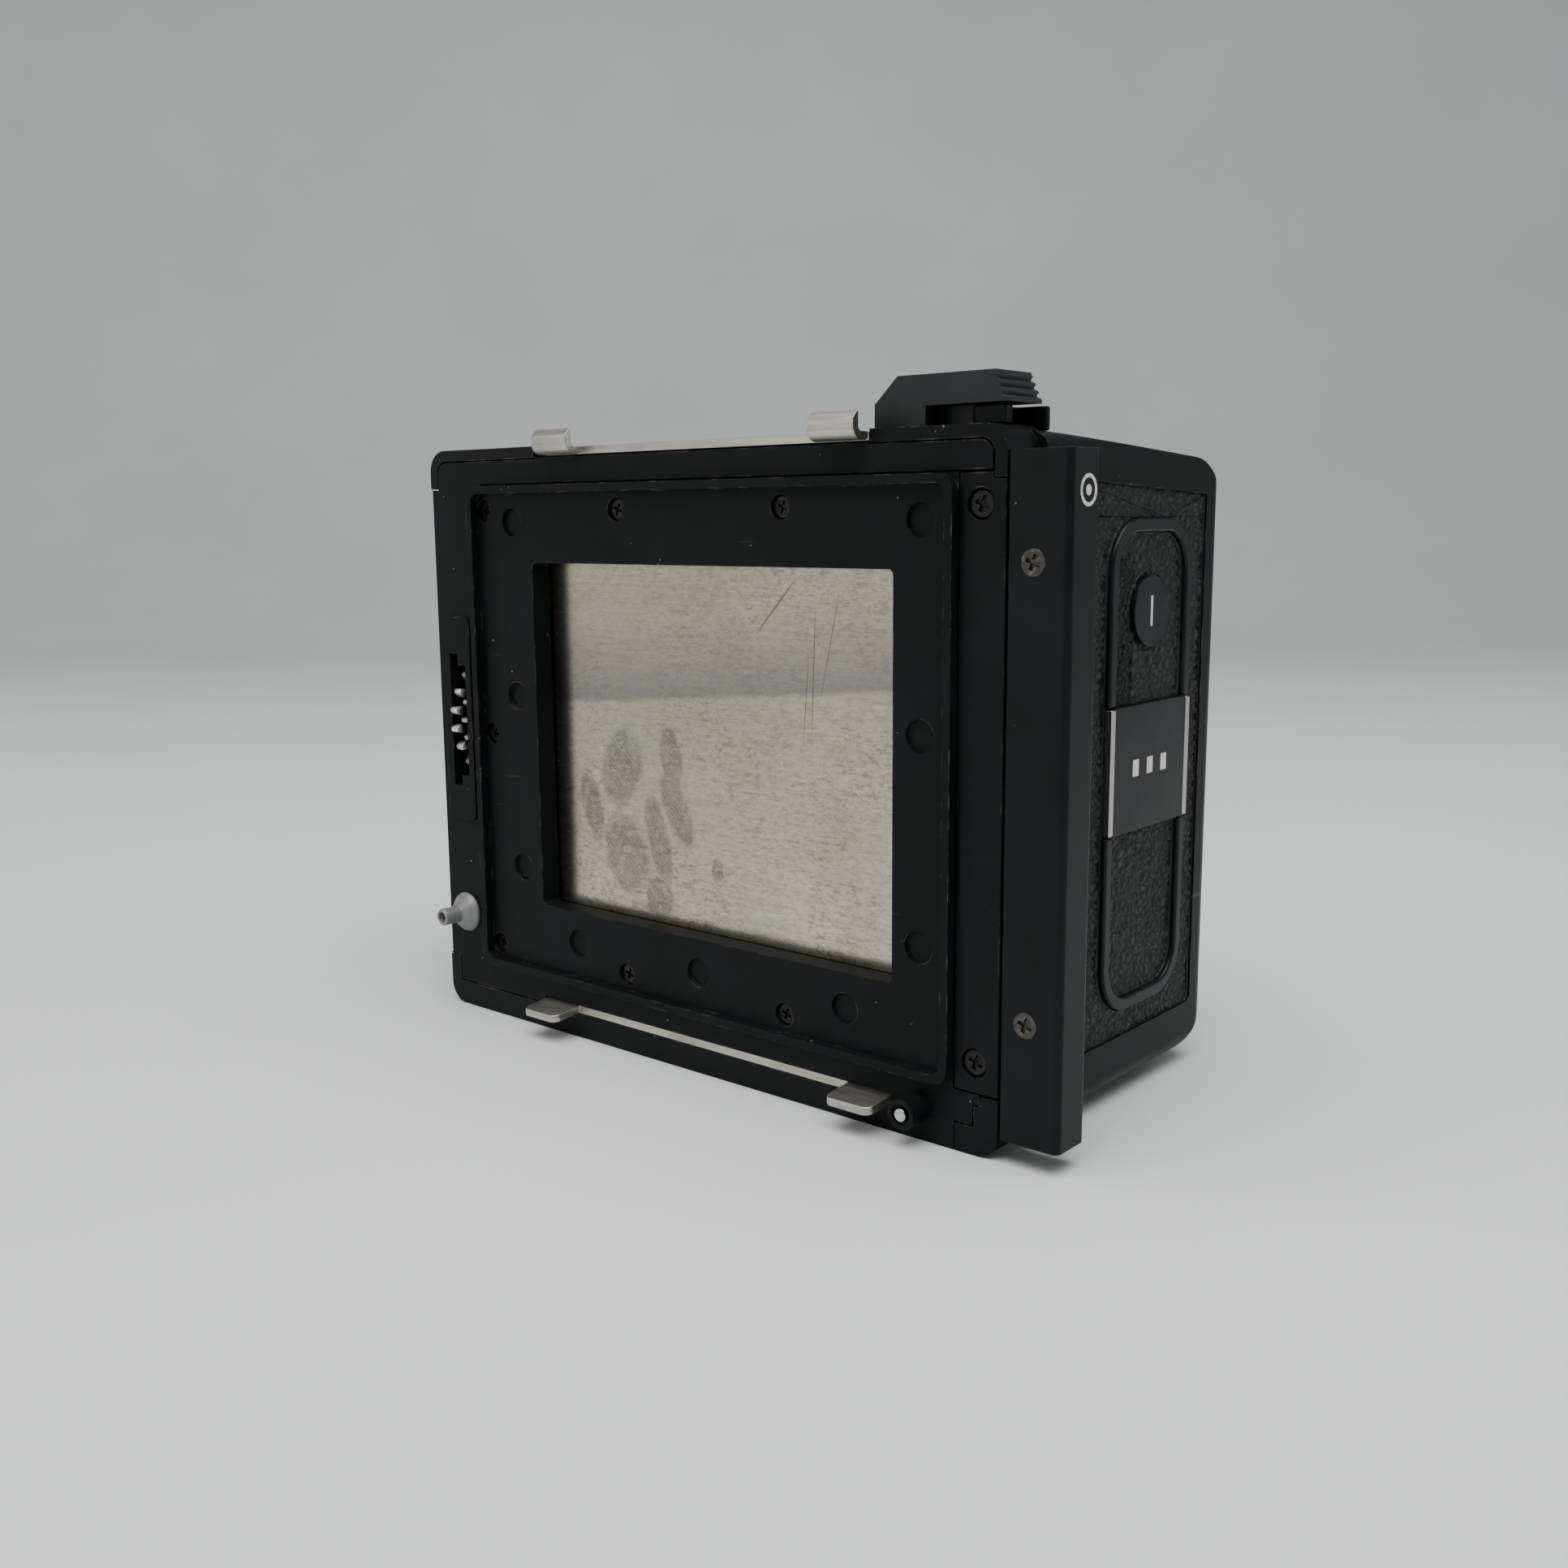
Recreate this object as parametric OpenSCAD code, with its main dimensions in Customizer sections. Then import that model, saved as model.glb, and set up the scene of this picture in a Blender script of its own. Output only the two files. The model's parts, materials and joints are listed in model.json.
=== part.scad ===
// Interchangeable 35 mm film back for a 6 x 4.5 cm reflex camera, dark slide in place.
// x runs along the camera's width, y from the camera towards the film door, z up.
// Every module draws in plate coordinates: x = 0 at the plate's left edge, y = 0 on the
// mating face and z = 0 at the foot of the plate. centred() moves them to the part's origin.

/* [Front plate] */
// Width of the mating plate
plate_w = 86; // [85:0.5:87]
// Height of the mating plate
plate_h = 72; // [71.5:0.1:72.5]
// Thickness of the plate at the mating face
plate_t = 2.6; // [2.5:0.05:2.65]
// Width of the image opening
gate_w = 54; // [52:0.5:54.5]
// Height of the image opening
gate_h = 42.3; // [40:0.1:42.6]
// How far the baffle rim stands proud of the plate
lip_h = 1.1; // [0.8:0.1:1.4]

/* [Body] */
// Depth from the mating face to the back of the body
body_depth = 43.7; // [43:0.1:45]
// Thickness of the casing's side walls
wall = 1.6; // [1.4:0.1:1.8]
// Radius of the casing's long edges
edge_r = 2.4; // [2:0.1:4]

/* [Dark slide] */
// Thickness of the steel blade
blade_t = 0.6; // [0.5:0.05:0.65]
// Width of the handle bar, along the pull
handle_w = 6.6; // [6:0.1:8]
// Depth of the handle bar
handle_d = 5.2; // [4.8:0.1:5.3]

/* [Fastening to the camera] */
// How far the lower hooks reach forward
hook_reach = 4.2; // [3.5:0.1:4.5]
// Travel of the release lever
release_travel = 2.2; // [1.8:0.1:2.3]
// Radius of the locating pin
locating_r = 1.1; // [0.9:0.05:1.2]

/* [Film transport] */
// Gear module
gear_m = 0.7; // [0.68:0.01:0.72]
// Radius of the take-up drum
drum_r = 6.5; // [5:0.5:7]
// Radius of the winding knob
wind_knob_r = 8; // [6:0.5:9]

/* [Hidden] */
$fn = 64;
gap = 0.15;            // seam between fixed parts
eps = 0.02;            // overshoot of a cut
turn_gap = 0.05;       // radial clearance of a running fit

// body
body_x0 = -1.2;
body_x1 = plate_w + 1.2;
body_y0 = 5.5;
body_z0 = 1.5;
body_top = plate_h - 0.5;                // where the release lever stands
shoulder_z = 61.6;                       // the rear top edge starts to round off here
top_corner_r = 8;
plan_r = 3.2;                            // upright rear edges
foot_corner_r = 9.5;
shoulder_t = 1.6;                        // flange that joins the front ring to the body
inner_y0 = body_y0 + shoulder_t;
inner_y1 = body_depth - 1.7;

// front face
rim_t = 1.35;                            // visible band of the casing round the plate
rim_r = 2.7;
ring_side = 1.6;
ring_top = 2.2;
recess_x0 = 19.8;                        // the upper band is cut away from here
recess_x1 = 70;                          // to here, for the hooks
recess_z = 70.75;
low_band_x1 = 73.3;
low_band_z = 3.1;
gate_x = 45.95;
gate_z = 37.15;
lip_x0 = 8.1;
lip_x1 = 80.6;
lip_z0 = 6.8;
lip_z1 = 67.5;
lip_t = 0.95;
bar_z0 = 67.75;                          // foot of the top bar
bar_x1 = 84.4;
side_plate_x0 = lip_x1 + gap;
side_plate_z0 = 6.6;
side_plate_z1 = bar_z0 - 0.25;
dimple_r = 1.7;
dimples = concat([for (dz = [-21.2, 0.4, 21.6]) for (dx = [-30.55, 30.3]) [gate_x + dx, gate_z + 4.4 + dz]],
                 [for (dx = [-20.7, -0.5, 20.8]) [gate_x + dx, 12.05]]);
panel_screws_at = concat([for (dx = [-12.3, 12.4]) for (z = [64.5, 9.65]) [gate_x + dx, z]],
                         [for (z = [64.5, 36.9, 9.6]) [10.3, z]]);
side_screws_at = [for (z = [64.55, 9.65]) [83.1, z]];
panel_head_r = 1.1;                      // screw heads and the bores that they sit in
side_head_r = 1.3;
handle_head_r = 1.3;
bore_gap = 0.2;
shank_r = 0.6;

// gear window
boss_x = [1.6, 6.9];
boss_z = [25.2, 51.3];
boss_h = 0.45;
window_x = [2.9, 5.9];
window_z = [29.6, 46.6];

// dark slide
slot_y0 = plate_t + 0.15;
blade_y0 = plate_t + 0.3;
blade_y1 = blade_y0 + blade_t;
chassis_y0 = 3.8;
blade_z = [12.5, 61.7];
blade_x0 = 15.3;
handle_x0 = plate_w + 0.2;
handle_x1 = handle_x0 + handle_w + 0.05;
handle_z = [2.4, 69.5];
handle_edge_r = 0.75;
handle_screws_at = [[88.9, 59.15], [88.9, 14.75]];
index_at = [3.04, 65.7];
mark_depth = 0.15;                       // engraving, filled with white paint
mark_sunk = 0.02;

// hooks and lever
strip_t = 0.9;
strip_z = recess_z + 0.1;
hook_w = 5.9;
hook_x = [22.3, 63.9];
hook_out = 2.4;
hook_top = 73;
low_strip_z = low_band_z + 0.07;
low_hook_x = [19.2, 67.2];
hook_droop = 0.4;                        // the lower hooks dip by this much at their tips
lever_x = [69.1, 84.6];
lever_y = [2, 8.2];
lever_z = [72.1, 74, 77];
guard_x = [80.1, 85.2];
guard_top = 73.8;
pocket_x1 = 80.5;
pocket_y = [1.4, 8.6];

// pins on the mating face
locating_at = [3.75, 12.7];
sleeve_at = [76.5, 3.6];
sleeve_r = 1.6;
sleeve_out = 3.3;
plunger_r = 0.7;

// film transport, as [y, z] of each axis that runs along x
drive_at = [8.1, 38.1];
sprocket_at = [15, 61.5];
rewind_at = [25.5, 19];
roller_at = [13, 10];
counter_at = [28, 36];
drive_n = 22;
idler_n = 16;
sprocket_n = 18;
takeup_n = 28;
coupling_m = 0.75;                       // module of the row that meets the camera's gear
drive_r = drive_n * gear_m / 2;
idler_r = idler_n * gear_m / 2;
sprocket_r = sprocket_n * gear_m / 2;
takeup_r = takeup_n * gear_m / 2;
mesh_gap = 0.06;                         // added to each centre distance
backlash = 10.8;                         // taken off each tooth, in degrees of a tooth pitch
takeup_dir = -25;
takeup_at = sprocket_at + (sprocket_r + takeup_r + mesh_gap) * [cos(takeup_dir), sin(takeup_dir)];
idler_at = meet(drive_at, drive_r + idler_r + mesh_gap, sprocket_at, sprocket_r + idler_r + mesh_gap);
row_1 = [3.05, 4.25];
row_2 = [4.55, 5.75];
layer_1 = [4.65, 5.6];                   // drive gear to idler to sprocket
layer_2 = [5.95, 6.85];                  // sprocket to take-up spool
gear_plate_x = [7.2, 8.4];
film_w = 35;
film_x = [gate_x - film_w / 2, gate_x + film_w / 2];
chassis_wall_x = [[22, 23.4], [68.6, 70]];
chassis_y1 = 39.5;
bar_y = 12.6;                            // the pressure spring bears on this bar
press_y = [8.3, 9.3];
frame_35 = [24, 36];
press_give = 0.6;                        // how far the pressure plate yields
spring_half = 13;                        // half the length of the pressure spring
spring_w = 6;
sprocket_body_r = 6.05;
perforation = 14.1;                      // from the film's middle to a row of perforations

// rewind knob and crank, outside the left wall
left_x = body_x0;
knob_r = 8.5;
knob_x = [left_x - 5, left_x - 0.3];
crank_x = -7.3;                          // axis of the crank's hinge
crank_pivot_y = rewind_at[0] + 5.2;
crank_len = 10.8;
crank_w = 4.4;
crank_t = 1.2;
grip_r = 2.1;
grip_y = crank_pivot_y - crank_len;

// rear cover
cover_x = [4, 82];
cover_z = [7.4, 62.6];
cover_y = [inner_y1 - 0.1, body_depth - 0.4];
corner_y = 37.4;                         // the cover's foot wraps the corner from here
corner_gap = 0.4;
hinge_at = [38.6, 2];
hinge_r = 2;
hinge_pin_r = 0.9;
cover_knuckles = [[14, 26], [60, 72]];
shell_knuckles = [[8, 14], [26, 60], [72, 78]];
hinge_gap = 0.2;
latch_x = [36, 50];
latch_z = [56.3, 62.3];
latch_slot = [38.4, 47.6];
latch_travel = 2.5;

// leather panels and side trim, as [y0, z0, y1, z1]
leather_t = 0.5;
leather_y = [10, 39];
leather_z = [7.5, 67];
ring_box = [17.6, 10.4, 35.4, 63.1];
ring_w = 1.45;
ring_r = 5.6;
label_z = [30.2, 43.7];
disc_at = [26.4, 53.4];
disc_r = 3.75;
ring_x = body_x1 + 0.4;
disc_x = body_x1 + 0.25;
label_x = body_x1 + 0.5;

// the part's box, which sets its origin
part_x = [crank_x - crank_t / 2 - 0.2, handle_x1];
part_y = [-hook_reach, body_depth + 1.2];

// ---- helpers ----

// The crossing, on the far side, of two circles round a and b.
function meet(a, ra, b, rb) =
    let (d = norm(b - a), along = (d * d + ra * ra - rb * rb) / (2 * d),
         off = sqrt(ra * ra - along * along), u = (b - a) / d)
    a + along * u + off * [u[1], -u[0]];

function bearing(a, b) = atan2(b[1] - a[1], b[0] - a[0]);

// Angle of a tooth of gear b that meshes with gear a, whose tooth stands at phase_a.
function mesh_phase(phase_a, na, nb, dir) = dir + 180 + 180 / nb + (dir - phase_a) * na / nb;

function arc(c, r, a0, a1, n = 12) = [for (i = [0:n]) let (a = a0 + (a1 - a0) * i / n)
    c + r * [cos(a), sin(a)]];

module centred()
    translate([-(part_x[0] + part_x[1]) / 2, -(part_y[0] + part_y[1]) / 2, 0]) children();

// Raises a drawing in x and z into a slab between two depths.
module slab(y0, y1) translate([0, y1, 0]) rotate([90, 0, 0]) linear_extrude(y1 - y0) children();

// Raises a drawing in y and z into a slab between two widths.
module side_slab(x0, x1) translate([x0, 0, 0]) rotate([90, 0, 90]) linear_extrude(x1 - x0) children();

module box(a, b) translate(a) cube(b - a);

module rod_y(at, r, y0, y1) translate([at[0], y1, at[1]]) rotate([90, 0, 0]) cylinder(r = r, h = y1 - y0);

module rod_x(at, r, x0, x1) translate([x0, at[0], at[1]]) rotate([0, 90, 0]) cylinder(r = r, h = x1 - x0);

module tube_x(at, r, bore, x0, x1) difference() {
    rod_x(at, r, x0, x1);
    rod_x(at, bore, x0 - 1, x1 + 1);
}

// Rectangle with round corners, from two opposite corners.
module rounded(p, q, r) {
    translate([p[0] + r, p[1]]) square([q[0] - p[0] - 2 * r, q[1] - p[1]]);
    translate([p[0], p[1] + r]) square([q[0] - p[0], q[1] - p[1] - 2 * r]);
    for (x = [p[0] + r, q[0] - r]) for (y = [p[1] + r, q[1] - r]) translate([x, y]) circle(r);
}

module area(p, q) translate(p) square(q - p);

// Countersunk or cheese-head screw along y with a cross recess, its head towards -y.
module cross_screw(at, y, head, depth, shank, length) difference() {
    union() {
        rod_y(at, head, y, y + depth);
        rod_y(at, shank, y + depth, y + length);
    }
    for (a = [0, 90]) translate([at[0], y, at[1]]) rotate([0, a + 20, 0])
        cube([head * 1.25, 0.9, head * 0.34], center = true);
}

// ---- casing ----

module face_outline() rounded([0, 0], [plate_w, plate_h], rim_r);

// The stepped corner where the casing locks into the plate.
module corner_tab(grow) polygon([
    [84 - grow, 6.35 + grow], [84 - grow, 5.4 - grow], [83.15 - grow, 5.4 - grow],
    [83.15 - grow, 3 + grow], [80.95 - grow, 3 + grow], [80.95 - grow, -1],
    [plate_w + 1, -1], [plate_w + 1, 6.35 + grow]]);

// What shows of the casing on the mating face, grown by a seam when it is cut from the plate.
module rim(grow) {
    difference() {
        area([-1, 67.3 - grow], [recess_x0 + grow, plate_h + 1]);
        rounded([rim_t + grow, 40], [60, plate_h - rim_t - grow], 1.5);
    }
    difference() {
        area([recess_x1 - grow, 67 - grow], [plate_w + 1, plate_h + 1]);
        rounded([50, 40], [plate_w - rim_t - grow, plate_h - rim_t - grow], 1.5);
    }
    area([-1, -1], [low_band_x1 + grow, low_band_z + grow]);
    area([-1, -1], [2 + grow, 6.4 + grow]);
    corner_tab(grow);
}

// Side view of the body, whose top falls away towards the back, shrunk by g all round.
module body_profile(g) polygon(concat(
    [[body_y0 - g, body_z0 + g]],
    arc([body_depth - foot_corner_r, body_z0 + foot_corner_r], foot_corner_r - g, -90, 0),
    arc([body_depth - top_corner_r, shoulder_z], top_corner_r - g, 0, 87, 16),
    [[body_y0 - g, body_top - g]]));

module body_envelope() intersection() {
    side_slab(body_x0, body_x1) body_profile(0);
    slab(body_y0, body_depth) rounded([body_x0, body_z0], [body_x1, body_top], edge_r);
    translate([0, 0, -5]) linear_extrude(plate_h + 10)
        rounded([body_x0, -30], [body_x1, body_depth], plan_r);
}

module ring_opening() area([ring_side, ring_top], [plate_w - ring_side, plate_h - ring_top]);

// The part of the envelope that the cover takes, less a gap all round.
module cover_zone(g) {
    box([cover_x[0] - g, inner_y1 - 1, cover_z[0] - 1], [cover_x[1] + g, body_depth + 1, cover_z[1] + g]);
    box([cover_x[0] - g, corner_y - corner_gap, -1], [cover_x[1] + g, body_depth + 1, cover_z[0]]);
}

module leather_2d(g) intersection() {
    rounded([leather_y[0] - g, leather_z[0] - g], [leather_y[1] + g, leather_z[1] + g], 0.9);
    translate([leather_y[0] - 1, leather_z[0] - 1]) rotate(-2.6) area([-5, -5], [60, 60.4 + g]);
}

module outer_shell() color("#15181a") difference() {
    union() {
        slab(0, plate_t) intersection() { face_outline(); rim(0); }
        slab(plate_t, inner_y0) difference() {
            face_outline();
            ring_opening();
        }
        difference() {
            body_envelope();
            intersection() {
                side_slab(body_x0 + wall, body_x1 - wall) body_profile(wall);
                box([-10, inner_y0, 0], [100, inner_y1, plate_h]);
            }
            slab(body_y0 - 1, inner_y0 + eps) ring_opening();
            cover_zone(gap);
        }
        for (at = [drive_at, idler_at, sprocket_at]) rod_x(at, 2.4, body_x0 + 0.8, 2);
        for (k = shell_knuckles) knuckle(k, corner_y - 2.6);
    }
    // slot for the blade, recess for the hooks, pocket for the slider
    box([plate_w - 3, slot_y0, blade_z[0] - 0.3], [plate_w + 3, chassis_y0, blade_z[1] + 0.3]);
    box([recess_x0, -1, recess_z], [recess_x1, 5, plate_h + 1]);
    box([lever_x[0] - release_travel - 0.5, pocket_y[0], recess_z], [pocket_x1, pocket_y[1], plate_h + 1]);
    // bearings in the left wall
    for (at = [drive_at, idler_at, sprocket_at]) rod_x(at, shaft_r(at) + turn_gap, body_x0 + 1.4, 3);
    rod_x(takeup_at, 1.5 + turn_gap, body_x0 - 1, 3);
    rod_x(rewind_at, 1.8 + turn_gap, body_x0 - 1, 3);
    rod_x([counter_at[0], counter_at[1] + 4], 2.2, body_x0 - 1, 3);
    for (k = cover_knuckles)
        rod_x(hinge_at, hinge_r + hinge_gap, k[0] - hinge_gap, k[1] + hinge_gap);
    rod_x(hinge_at, hinge_pin_r, shell_knuckles[0][0] - 1, shell_knuckles[2][1] + 1);
    // seats for the leather
    side_slab(body_x1 - leather_t - 0.2, body_x1 + 1) leather_2d(0);
    side_slab(body_x0 - 1, body_x0 + leather_t - 0.1) leather_2d(0);
}

function shaft_r(at) = at == drive_at ? 1.2 : 1;

// A knuckle of the cover's hinge with a web to the wall above it.
module knuckle(k, y0) {
    rod_x(hinge_at, hinge_r, k[0], k[1]);
    box([k[0], y0, body_z0], [k[1], hinge_at[0], body_z0 + wall]);
}

module hinge_pin() color("#9a9c9e")
    rod_x(hinge_at, hinge_pin_r, shell_knuckles[0][0] + 0.4, shell_knuckles[2][1] - 0.4);

// ---- mating face ----

module gate_2d() rounded([gate_x - gate_w / 2, gate_z - gate_h / 2],
                         [gate_x + gate_w / 2, gate_z + gate_h / 2], 0.6);

module plate_2d() difference() {
    face_outline();
    rim(gap);
    // the gear side stands just inside the casing
    area([-1, 6.6], [0.3, 67.1]);
    area([recess_x0 - 1, recess_z - 0.1], [recess_x1 + 1, plate_h + 1]);
    area([bar_x1, bar_z0 - 3], [plate_w + 1, plate_h + 1]);
    area([side_plate_x0 - gap, side_plate_z0 - gap], [plate_w + 1, bar_z0]);
    // slot for the lower hooks
    area([low_hook_x[0] - 0.4, low_band_z - 1],
         [low_hook_x[1] + hook_w + 0.1, low_strip_z + strip_t + 0.08]);
}

module front_plate() color("#1a1e20") difference() {
    union() {
        slab(0, plate_t) plate_2d();
        slab(-lip_h, plate_t) difference() {
            rounded([lip_x0, lip_z0], [lip_x1, lip_z1], 1.9);
            rounded([lip_x0 + lip_t, lip_z0 + lip_t], [lip_x1 - lip_t, lip_z1 - lip_t], 1);
        }
        slab(-boss_h, 1) rounded([boss_x[0], boss_z[0]], [boss_x[1], boss_z[1]], 1.1);
    }
    slab(-5, plate_t + 1) gate_2d();
    slab(-1, 0.8) area([lip_x0 + 1.6, lip_z1 + 0.02], [bar_x1 + 1, bar_z0]);
    // window of the drive gear, narrower over its second row of teeth
    slab(-1, plate_t + 1) area([window_x[0], window_z[0]], [4.4, window_z[1]]);
    slab(-1, plate_t + 1) area([4.3, window_z[0] + 1.4], [window_x[1], window_z[1] - 1.4]);
    for (d = dimples) rod_y(d, dimple_r, -0.5, 0.45);
    for (s = panel_screws_at) {
        rod_y(s, panel_head_r + bore_gap, -0.5, 1.2);
        rod_y(s, shank_r, 1, plate_t + 1);
    }
    rod_y(locating_at, 1.5, -1, plate_t + 1);
    rod_y(sleeve_at, sleeve_r - 0.25, -1, plate_t + 1);
}

module plate_screws() color("#2b2d2e") for (s = panel_screws_at)
    cross_screw(s, 0.45, panel_head_r, 0.75, shank_r, 2.1);

module slide_plate() color("#16191b") difference() {
    slab(0, plate_t) difference() {
        area([side_plate_x0, side_plate_z0], [plate_w - 0.05, side_plate_z1]);
        area([plate_w - rim_t - gap, 67 - gap], [plate_w + 1, plate_h]);
    }
    for (s = side_screws_at) {
        rod_y(s, side_head_r + bore_gap, -0.5, 1.2);
        rod_y(s, shank_r, 1, plate_t + 1);
    }
}

module slide_plate_screws() color("#2b2d2e") for (s = side_screws_at)
    cross_screw(s, 0.35, side_head_r, 0.85, shank_r, 2.1);

module locating_pin() color("#b9bbbc") translate([locating_at[0], 0, locating_at[1]]) rotate([90, 0, 0])
    rotate_extrude() polygon([
        [0, -2.4], [1.5, -2.4], [1.5, 0], [2.6, 0], [2.45, 0.35], [1.35, 1.5],
        [locating_r, 1.7], [locating_r, hook_reach - 0.2], [locating_r - 0.15, hook_reach],
        [0.7, hook_reach], [0.7, hook_reach - 1], [0, hook_reach - 1]]);

module interlock_sleeve() color("#121314") difference() {
    union() {
        rod_y(sleeve_at, sleeve_r - 0.25, -1, 2.4);
        rod_y(sleeve_at, sleeve_r, -sleeve_out, 0);
    }
    rod_y(sleeve_at, plunger_r + turn_gap, -10, 10);
    rod_y(sleeve_at, sleeve_r - 0.5, -sleeve_out - 1, -sleeve_out + 0.35);
}

module interlock_pin() color("#c6c7c8") {
    rod_y(sleeve_at, plunger_r, -sleeve_out - 0.1, 2.9);
}

module bottom_hooks() color("#b6b2a4") {
    box([low_hook_x[0], 0, low_strip_z], [low_hook_x[1] + hook_w, 2.5, low_strip_z + strip_t]);
    for (x = low_hook_x) intersection() {
        side_slab(x, x + hook_w) low_hook_2d();
        linear_extrude(10) rounded([x, -hook_reach], [x + hook_w, 3], 1);
    }
}

// Side view of a lower hook, whose tongue dips as it reaches forward.
module low_hook_2d() translate([0, low_strip_z]) polygon([
    [1, 0], [0, 0], [-hook_reach, -hook_droop], [-hook_reach, strip_t - hook_droop],
    [0, strip_t], [1, strip_t]]);

// ---- dark slide ----

module dark_slide_blade() color("#b3aea2")
    slab(blade_y0, blade_y1) union() {
        rounded([blade_x0, blade_z[0]], [60, blade_z[1]], 1.5);
        area([40, blade_z[0]], [handle_x0 + 3, blade_z[1]]);
    }

module slide_handle() color("#16181a") difference() {
    translate([0, 0, handle_z[0]]) linear_extrude(handle_z[1] - handle_z[0]) union() {
        rounded([handle_x0, 0], [handle_x1, handle_d], handle_edge_r);
        rounded([handle_x0, 0], [handle_x0 + 3, handle_d], 0.2);
    }
    box([handle_x0 - 1, blade_y0, blade_z[0]], [handle_x0 + 3, blade_y1, blade_z[1]]);
    for (s = handle_screws_at) {
        rod_y(s, handle_head_r, -1, 0.75);
        rod_y(s, shank_r, 0.5, 2.5);
    }
    side_slab(handle_x1 - mark_depth, handle_x1 + 1) index_2d();
}

// Ring and dot that show which way round the slide goes in.
module index_2d() translate(index_at) {
    difference() {
        circle(1.5);
        circle(1.13);
    }
    circle(0.5);
}

module index_mark() color("#e8e8e4")
    side_slab(handle_x1 - mark_depth, handle_x1 - mark_sunk) index_2d();

module handle_screws() color("#8b8d8c") for (s = handle_screws_at)
    cross_screw(s, 0, handle_head_r, 0.75, shank_r, 2.2);

module slide_channel() color("#202325") slab(plate_t, chassis_y0) difference() {
    area([blade_x0 - 2.2, blade_z[0] - 1.8], [plate_w - ring_side - 0.1, blade_z[1] + 1.8]);
    area([blade_x0 - 0.3, blade_z[0] - 0.15], [plate_w, blade_z[1] + 0.15]);
}

module light_trap_felts() color("#101010")
    for (y = [[plate_t, blade_y0 - 0.1], [blade_y1 + 0.1, chassis_y0]])
        box([81, y[0], blade_z[0]], [84.2, y[1], blade_z[1]]);

// ---- hooks and release ----

// Sheet-metal hook: a tab forward, bent upwards, as a section in y and z.
module hook_2d() difference() {
    union() {
        rounded([-hook_out, strip_z], [-hook_out + 3, strip_z + 3], 1.4);
        area([-hook_out, strip_z + 1.5], [-hook_out + strip_t, hook_top]);
    }
    area([-hook_out + strip_t, strip_z + strip_t + 0.5], [5, hook_top + 1]);
    area([-hook_out + strip_t + 0.5, strip_z + strip_t], [5, hook_top]);
    translate([-hook_out + strip_t + 0.5, strip_z + strip_t + 0.5]) circle(0.5);
    area([0.5, strip_z - 1], [5, hook_top]);
    area([-hook_out + strip_t, strip_z + 2], [5, hook_top + 1]);
}

module hook_slider() color("#b6b2a4") {
    box([hook_x[0] - 0.2, 0.05, strip_z], [recess_x1 - 0.1, 3, strip_z + strip_t]);
    box([lever_x[0], 1.5, strip_z], [76.5, 8.2, strip_z + strip_t]);
    for (x = hook_x) side_slab(x, x + hook_w) hook_2d();
}

// Thumb piece with a sloped left end and serrations on the right one.
module release_lever() color("#17191b") {
    slab(lever_y[0], lever_y[1]) difference() {
        polygon([[lever_x[0], lever_z[1]], [lever_x[0], lever_z[1] + 0.4], [lever_x[0] + 2.8, lever_z[2]],
                 [lever_x[1] - 1.3, lever_z[2]], [lever_x[1], lever_z[1] + 0.3], [lever_x[1], lever_z[1]]]);
        for (i = [0:2]) translate([lever_x[1] - 0.55 - 0.34 * i, lever_z[1] + 0.85 + 0.75 * i])
            rotate(-24) area([0, -0.16], [1, 0.16]);
    }
    box([lever_x[0], lever_y[0], strip_z + strip_t], [lever_x[0] + 6.2, lever_y[1] - 0.2, lever_z[1]]);
    box([lever_x[0] + 6.2, 4.4, lever_z[0]], [79.8, 7.2, lever_z[1]]);
}

// Fixed channel on the casing in which the lever's tail runs.
module lever_guard() color("#111314") difference() {
    translate([0, 0, body_top]) linear_extrude(guard_top - body_top) difference() {
        rounded([guard_x[0], 2.4], [guard_x[1], 9.4], 1);
        area([82, 3.7], [guard_x[1] + 1, 8.1]);
        area([84.2, 0], [guard_x[1] + 1, 4]);
    }
    box([0, 0, 0], [plate_w + 1, inner_y0, plate_h]);
}

// ---- inside ----

module film_chassis() color("#1b1c1d") difference() {
    union() {
        box([8.6, chassis_y0, 5], [84.2, 7.6, 67]);
        for (w = chassis_wall_x) intersection() {
            box([w[0], 7, 5], [w[1], chassis_y1, 67]);
            side_slab(w[0], w[1]) body_profile(wall + 0.3);
        }
        box([22.5, bar_y, 31], [69, bar_y + 1, 43]);
    }
    slab(0, 20) area([gate_x, gate_z] - frame_35 / 2, [gate_x, gate_z] + frame_35 / 2);
    slab(chassis_y0 - 1, 5.2)
        area([gate_x, gate_z] - frame_35 / 2 - [3, 3], [gate_x, gate_z] + frame_35 / 2 + [3, 3]);
    rod_x(sprocket_at, 1 + turn_gap, 20, 72);
    rod_x(takeup_at, 1.5 + turn_gap, 20, 72);
    rod_x(rewind_at, 1.8 + turn_gap, 20, 30);
    rod_x(roller_at, 1 + turn_gap, 20, 72);
}

module film_rails() color("#a9abac") for (x = [film_x[0] + 0.2, film_x[1] - 1.4])
    box([x, 7.6, 13], [x + 1.2, 8.1, 60]);

module pressure_plate() color("#26282a") difference() {
    slab(press_y[0], press_y[1]) rounded([film_x[0], 16.8], [film_x[1], 55.4], 2);
    // pockets that hold the ends of the spring
    for (s = [-1, 1]) translate([gate_x, press_y[1], gate_z + s * (spring_half - 1.05)])
        cube([spring_w + 0.6, 2 * (press_give + 0.05), 2.7], center = true);
}

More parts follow.
